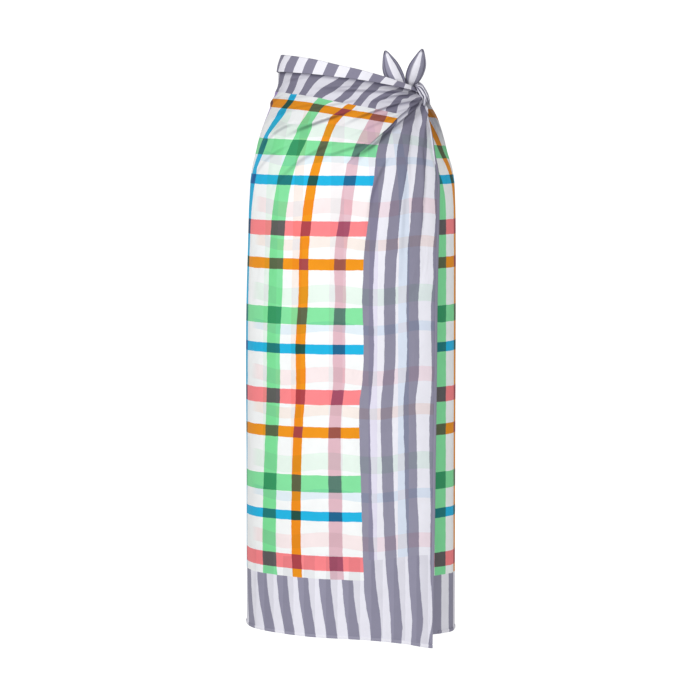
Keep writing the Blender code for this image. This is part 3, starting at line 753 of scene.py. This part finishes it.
# angle, u of the thread that crosses the fold there
turnThreads = np.array([
    (-284.0, 0.872), (-240.0, 0.790), (-200.0, 0.713), (-160.0, 0.637), (-120.0, 0.561),
    (-97.0, 0.517), (-75.0, 0.477), (-51.0, 0.437), (-31.0, 0.397), (-13.0, 0.357), (5.0, 0.317),
    (23.5, 0.277), (45.0, 0.237), (53.0, 0.217), (63.5, 0.191),
])


# From the loose lower edge at rise 0 up to the fold, then over it in a quarter circle to the rim
# inside. The loose part flares out a little and ripples.
def turnSurface(share, rise):
    angle = turn["first"] + (turn["last"] - turn["first"]) * share
    depth = through(turnRows, 0, 1, angle)
    inner = layerOffset(angle)
    outside = inner + wrap["wall"] + 1.4 * wrap["seam"]
    down = np.clip((turn["foldAt"] - rise) / turn["foldAt"], 0.0, 1.0)
    over = np.clip((rise - turn["foldAt"]) / (1.0 - turn["foldAt"]), 0.0, 1.0)
    roll = np.sin(0.5 * math.pi * over)
    ripple = turn["ripple"] * (1.0 + np.sin(np.radians(turn["ripples"] * angle))) * down
    dent = np.exp(-((angle - turn["dentAngle"]) / turn["dentSpread"])**2)
    ripple = ripple + turn["dent"] * dent * np.sin(math.pi * down)
    flare = turn["flare"] * down**2 * depth / turn["widest"]
    height = waistHeight(angle) - depth * down + turn["roll"] * roll
    offset = outside + wrap["wall"] * (1.0 - roll) * 0.6 + flare + ripple - roll * (outside - inner)
    return angle, depth * down, bodyPoint(angle, height, offset)


shares, rises = np.meshgrid(1.0 - np.linspace(0.0, 1.0, turn["columns"]),
                            np.linspace(0.0, 1.0, turn["rows"]), indexing="ij")
angle, down, points = turnSurface(shares, rises)
downShare = down / through(turnRows, 0, 1, angle)
leaning = turn["lean"] * downShare * ease(angle, -120.0, -60.0)
threads = through(turnThreads, 0, 1, angle) - leaning
turnUv = np.stack([threads, cut["long"] - turn["widest"] + down * 0.9], axis=-1)
turnPiece = shell("waist_turn", points, {"cloth": turnUv}, plainCloth,
                  turn["thick"])
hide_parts("waist_turnover")
print("turned-down top made")

# Hems
hem = {"deep": 0.006, "thick": 0.0007, "lift": 0.0004, "clear": 0.0002, "steps": 6,
       "clothLong": 1.02, "clothWide": 0.52, "backShare": 0.9, "edgeTop": 0.876, "edgeRows": 200}


# A strip of the cloth's own surface, lifted by the thickness of the cloth under it, with a low
# round belly across it.
def hemStrip(name, node, surface, hemRows, across, shares, rises):
    angle, height, offset, _ = surface(shares, rises)
    belly = hem["lift"] * np.sin(math.pi * np.clip(across, 0.0, 1.0))
    lifted = offset + wrap["inWall"] + hem["thick"] + hem["clear"] + belly
    uv = threadMap(angle, height, hemRows)
    piece = shell(name, bodyPoint(angle, height, lifted), {"cloth": uv}, plainCloth,
                  hem["thick"])
    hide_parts(node)
    return piece


tall = hem["deep"] / hem["clothLong"]
wide = hem["deep"] / hem["clothWide"]
hemRises = np.linspace(0.0, tall, hem["steps"])
shares, rises = np.meshgrid(frontShares, hemRises, indexing="ij")
frontHem = hemStrip("front_foot_hem", "front_hem", frontSurface, frontHemRows, rises / tall,
                    shares, rises)
shares, rises = np.meshgrid(backShares[backShares < hem["backShare"]], hemRises, indexing="ij")
backHem = hemStrip("back_foot_hem", "back_hem", backStretch, backHemRows, rises / tall,
                   shares, rises)
edgeRises = np.linspace(tall + 0.001, hem["edgeTop"], hem["edgeRows"])
shares, rises = np.meshgrid(np.linspace(wide, 0.0, hem["steps"]), edgeRises, indexing="ij")
edgeHem = hemStrip("free_edge_hem", "edge_hem", frontSurface, frontHemRows, shares / wide,
                   shares, rises)
print("hems made")

# The knot
# place along the strand, angle, height, distance out from the figure, radius
frontStrand = np.array([
    (0.0, 58.0, -0.0185, 0.0108, 0.0042), (0.2, 61.0, -0.0205, 0.0122, 0.0056),
    (0.5, 63.5, -0.0300, 0.0130, 0.0062), (0.8, 63.0, -0.0420, 0.0125, 0.0058),
    (1.0, 58.5, -0.0535, 0.0115, 0.0040),
])
backStrand = np.array([
    (0.0, 68.2, -0.0140, 0.0052, 0.0030), (0.2, 71.2, -0.0178, 0.0070, 0.0043),
    (0.5, 73.5, -0.0290, 0.0076, 0.0048), (0.8, 73.5, -0.0420, 0.0078, 0.0046),
    (1.0, 70.5, -0.0535, 0.0076, 0.0030),
])
strand = {"pleats": 6, "depth": 0.42, "pleatPower": 2.5, "around": 168, "along": 70, "twist": 3.4,
          "endPower": 0.36, "tip": 0.02, "threadStep": 0.0382, "pleatShade": 1.25}


# A pleated section carried along the strand's path, drawn in to a point at both ends: a circle
# less a rounded cosine, whose phase turns along the strand and is a little uneven.
def strandPiece(rows, threadStart):
    place, around = np.meshgrid(np.linspace(0.0, 1.0, strand["along"]),
                                np.linspace(0.0, math.tau, strand["around"] + 1), indexing="ij")
    angle, height = through(rows, 0, 1, place), through(rows, 0, 2, place)
    spine = bodyPoint(angle, height, through(rows, 0, 3, place))
    along = np.gradient(spine, axis=0)
    along /= np.linalg.norm(along, axis=-1, keepdims=True)
    out = bodyPoint(angle, height, 0.01) - bodyPoint(angle, height, 0.0)
    side = np.cross(out, along)
    side /= np.linalg.norm(side, axis=-1, keepdims=True)
    out = np.cross(along, side)
    phase = strand["pleats"] * around + strand["twist"] * place
    phase = phase + 0.9 * np.sin(7.0 * place + around) + 0.6 * np.sin(2.0 * around)
    hollow = (0.5 + 0.5 * np.cos(phase + 0.5 * np.sin(phase)))**strand["pleatPower"]
    pleat = 1.0 - strand["depth"] * hollow
    pleat = pleat + 0.04 * np.sin(2.0 * phase + 5.0 * place)
    ends = np.clip(np.sin(math.pi * place), 0.0, 1.0)**strand["endPower"]
    radius = through(rows, 0, 4, place) * pleat * np.maximum(ends, strand["tip"])
    points = (spine + out * (radius * np.cos(around))[..., None]
              + side * (radius * np.sin(around))[..., None])
    count = strand["around"]
    index = np.arange(strand["along"] * count).reshape(strand["along"], count)
    nextAround = np.roll(index, -1, axis=1)
    quads = np.stack([index[:-1], nextAround[:-1], nextAround[1:], index[1:]],
                     axis=-1).reshape(-1, 4)
    flatUv = np.stack([threadStart + around * strand["threadStep"], 0.02 + 0.06 * place], axis=-1)
    half = np.arange(count // 2 - 1)
    cap = np.stack([half, half + 1, count - 2 - half, count - 1 - half], axis=-1)
    quads = np.concatenate([quads, cap, cap[:, ::-1] + index[-1, 0]])
    # painted shade: grey in the pleats' hollows, and dark at the strand's start where it comes out
    # from under the band
    pleatShade = strand["pleatShade"] * np.clip((1.0 - pleat) / strand["depth"], 0.0, 1.0)**0.8
    pleatShade = np.maximum(pleatShade, 1.2 * (1.0 - ease(place, 0.02, 0.10)))
    return (points[:, :count].reshape(-1, 3), quads, flatUv[:, :count].reshape(-1, 2),
            pleatShade[:, :count].ravel())


for node, rows, threadStart in (("knot_front", frontStrand, 0.008),
                                ("knot_back", backStrand, 0.013)):
    points, quads, flatUv, pleatShade = strandPiece(rows, threadStart)
    piece = meshPiece(node + "_strand", points, quads, {"cloth": flatUv}, plainCloth,
                      80.0, {"paintedShade": pleatShade})
    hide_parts(node)
print("knot made")

# The two corners of the cloth
# turn is how far each one faces round the body, foot its least share of the width near the root,
# and middle the side to which its light stripe lies
corners = {
    "left": {"root": (0.0932, -0.0612, -0.0250), "tip": (0.0602, -0.0800, 0.0424), "width": 0.0335,
             "bow": 0.0042, "lean": -0.14, "turn": 8.0, "foot": 0.30, "middle": 0.22},
    "right": {"root": (0.1080, -0.0433, -0.0240), "tip": (0.1254, -0.0700, 0.0455),
              "width": 0.0375, "bow": 0.0044, "lean": -0.07, "turn": 28.0, "foot": 0.58,
              "middle": -0.33},
}
cornerLook = {"cup": 0.34, "taper": 0.26, "rim": 0.0006, "rimAt": 0.86, "edgeShade": 1.35,
              "innerShade": 1.2, "tipFrom": (0.90, 0.97), "clear": 0.0009, "thick": 0.0007}


# A pointed leaf: a power of a sine wide, cupped across, bowed along, leaning a little to one side.
def cornerSurface(corner, share, rise):
    root, tip = np.array(corner["root"]), np.array(corner["tip"])
    axis = tip - root
    angle = math.radians(corner["turn"])
    forward = np.array([math.sin(angle), -math.cos(angle), 0.0])
    side = np.cross(axis, forward)
    side /= np.linalg.norm(side)
    forward = np.cross(side, axis / np.linalg.norm(axis))
    across = 2.0 * share - 1.0
    outline = np.sin(math.pi * (0.02 + 0.98 * rise))**0.6 * (1.0 - 0.20 * rise)
    outline = outline * (1.0 - cornerLook["taper"] * ease(rise, 0.60, 1.0))
    outline = np.maximum(outline, corner["foot"] * (1.0 - ease(rise, 0.20, 0.34)))
    half = 0.5 * corner["width"] * (0.05 * ease(1.0 - rise, 0.0, 0.1) + outline)
    bow = corner["bow"] * np.sin(math.pi * rise) - 0.006 * (1.0 - rise)**2
    cup = -cornerLook["cup"] * half * (1.0 - across**2) + 0.05 * half * np.abs(across)
    swing = corner["lean"] * corner["width"] * np.sin(math.pi * rise)
    points = root + rise[..., None] * axis + (half * across + swing)[..., None] * side
    return points + (bow - cup)[..., None] * forward, across


for name, corner in corners.items():
    share, rise = np.meshgrid(np.linspace(0.0, 1.0, 41), np.linspace(0.0, 1.0, 61), indexing="ij")
    points, across = cornerSurface(corner, share, rise)
    normals = gridNormals(points)
    uv = np.stack([0.0572 + 0.0260 * (across - corner["middle"]), 0.02 + 0.07 * rise], axis=-1)
    rolled = cornerLook["rim"] * np.exp(-((np.abs(across) - cornerLook["rimAt"]) / 0.08)**2)
    # painted shade: along the rolled hem's outline and its inner groove, and darker towards the tip
    paintedHemShade = cornerLook["edgeShade"] * np.exp(-((np.abs(across) - 0.98) / 0.13)**2)
    paintedHemShade = paintedHemShade + cornerLook["innerShade"] * np.exp(-((np.abs(across) - 0.68) / 0.07)**2)
    paintedHemShade = paintedHemShade + cornerLook["edgeShade"] * ease(rise, *cornerLook["tipFrom"])
    paintedHemShade = np.minimum(paintedHemShade, cornerLook["edgeShade"])
    outer = points + (cornerLook["clear"] + rolled)[..., None] * normals
    piece = shell("corner_" + name, outer, {"cloth": uv}, plainCloth,
                  cornerLook["thick"], {"paintedShade": paintedHemShade})
    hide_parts("knot_end_" + name)
print("corners made")

# Stage, light and camera
studio = {"distance": 6.2, "rise": 5.2, "middle": -0.49, "frameWidth": 1.25, "sensor": 36.0,
          "waistPixel": (350.5, 75.0), "imageSize": 700.0, "floor": -1.09, "floorReach": 7.0,
          "bendRadius": 2.0, "wallTop": 9.0, "floorGrey": 0.45, "floorGlow": (0.74, 0.18),
          "air": 0.42}
# place, what it is aimed at, size and power of each light
lights = {
    "key_light": ((-1.9, -3.0, 0.9), (0.0, 0.0, -0.5), 0.7, 73.0),
    "fill_light": ((2.3, -3.1, -0.1), (0.0, 0.0, -0.6), 2.0, 42.0),
}


# A round pale floor that curves up into a wall at its far edge, turned about the middle.
def stagePiece():
    bend = np.linspace(0.0, 0.5 * math.pi, 17)
    reach, radius = studio["floorReach"], studio["bendRadius"]
    flat = np.concatenate([[0.02], np.linspace(1.0, reach, 7)])
    outwards = np.concatenate([flat, reach + radius * np.sin(bend[1:]), [reach + radius]])
    upwards = np.concatenate([0.0 * flat, radius - radius * np.cos(bend[1:]), [studio["wallTop"]]])
    turns = np.linspace(0.0, math.tau, 97)[:-1]
    xs = np.outer(np.sin(turns), outwards)
    ys = np.outer(np.cos(turns), outwards)
    zs = np.broadcast_to(upwards, xs.shape) + studio["floor"]
    grid = np.arange(xs.size).reshape(xs.shape)
    after = np.roll(grid, -1, axis=0)
    quads = np.stack([grid[:, :-1], after[:, :-1], after[:, 1:], grid[:, 1:]], axis=-1)
    mesh = bpy.data.meshes.new("studio_floor")
    mesh.from_pydata(np.stack([xs, ys, zs], axis=-1).reshape(-1, 3).tolist(), [],
                     quads.reshape(-1, 4).tolist() + [grid[::-1, 0].tolist()])
    mesh.shade_smooth()
    pale = bpy.data.materials.new("paleStudio")
    pale.use_nodes = True
    tree = pale.node_tree
    seen = tree.nodes.new("ShaderNodeLightPath").outputs["Is Camera Ray"]
    glow = mathNode(tree, "MULTIPLY_ADD", seen, *studio["floorGlow"])
    for name, value in (("Base Color", (*[studio["floorGrey"]] * 3, 1.0)), ("Roughness", 0.9),
                        ("Emission Color", (1.0, 1.0, 1.0, 1.0)), ("Emission Strength", glow)):
        setInput(tree, tree.nodes["Principled BSDF"].inputs[name], value)
    mesh.materials.append(pale)
    floor = bpy.data.objects.new("studio_floor", mesh)
    bpy.context.scene.collection.objects.link(floor)


stagePiece()


def softLight(name, place, aim, size, watts):
    light = bpy.data.lights.new(name, "AREA")
    light.shape = "DISK"
    light.size = size
    light.energy = watts
    lamp = bpy.data.objects.new(name, light)
    lamp.location = place
    lamp.rotation_euler = (Vector(aim) - Vector(place)).to_track_quat("-Z", "Y").to_euler()
    bpy.context.scene.collection.objects.link(lamp)


for name, values in lights.items():
    softLight(name, *values)
world = bpy.data.worlds.new("studioAir")
world.use_nodes = True
world.node_tree.nodes["Background"].inputs[0].default_value = (1.0, 1.0, 1.0, 1.0)
world.node_tree.nodes["Background"].inputs[1].default_value = studio["air"]
bpy.context.scene.world = world
bpy.context.scene.view_settings.view_transform = "Standard"
print("stage and lights made")

lens = bpy.data.cameras.new("camera")
camera = bpy.data.objects.new("camera", lens)
bpy.context.scene.collection.objects.link(camera)
bpy.context.scene.camera = camera
rise = math.radians(studio["rise"])
aim = Vector((0.0, 0.0, studio["middle"]))
camera.location = aim + studio["distance"] * Vector((0.0, -math.cos(rise), math.sin(rise)))
camera.rotation_euler = (aim - camera.location).to_track_quat("-Z", "Y").to_euler()
lens.sensor_width = studio["sensor"]
lens.lens = studio["sensor"] * studio["distance"] / studio["frameWidth"]
bpy.context.view_layer.update()
waistSeen = camera.matrix_world.inverted() @ Vector((0.0, -0.09, 0.0))
pixels = studio["imageSize"] * studio["distance"] / studio["frameWidth"]
middleLine = studio["waistPixel"][1] + pixels * waistSeen.y / -waistSeen.z
lens.shift_y = (middleLine - 0.5 * studio["imageSize"]) / studio["imageSize"]
lens.shift_x = (0.5 * studio["imageSize"] - studio["waistPixel"][0]) / studio["imageSize"]
print("camera set, shift", round(lens.shift_x, 4), round(lens.shift_y, 4))
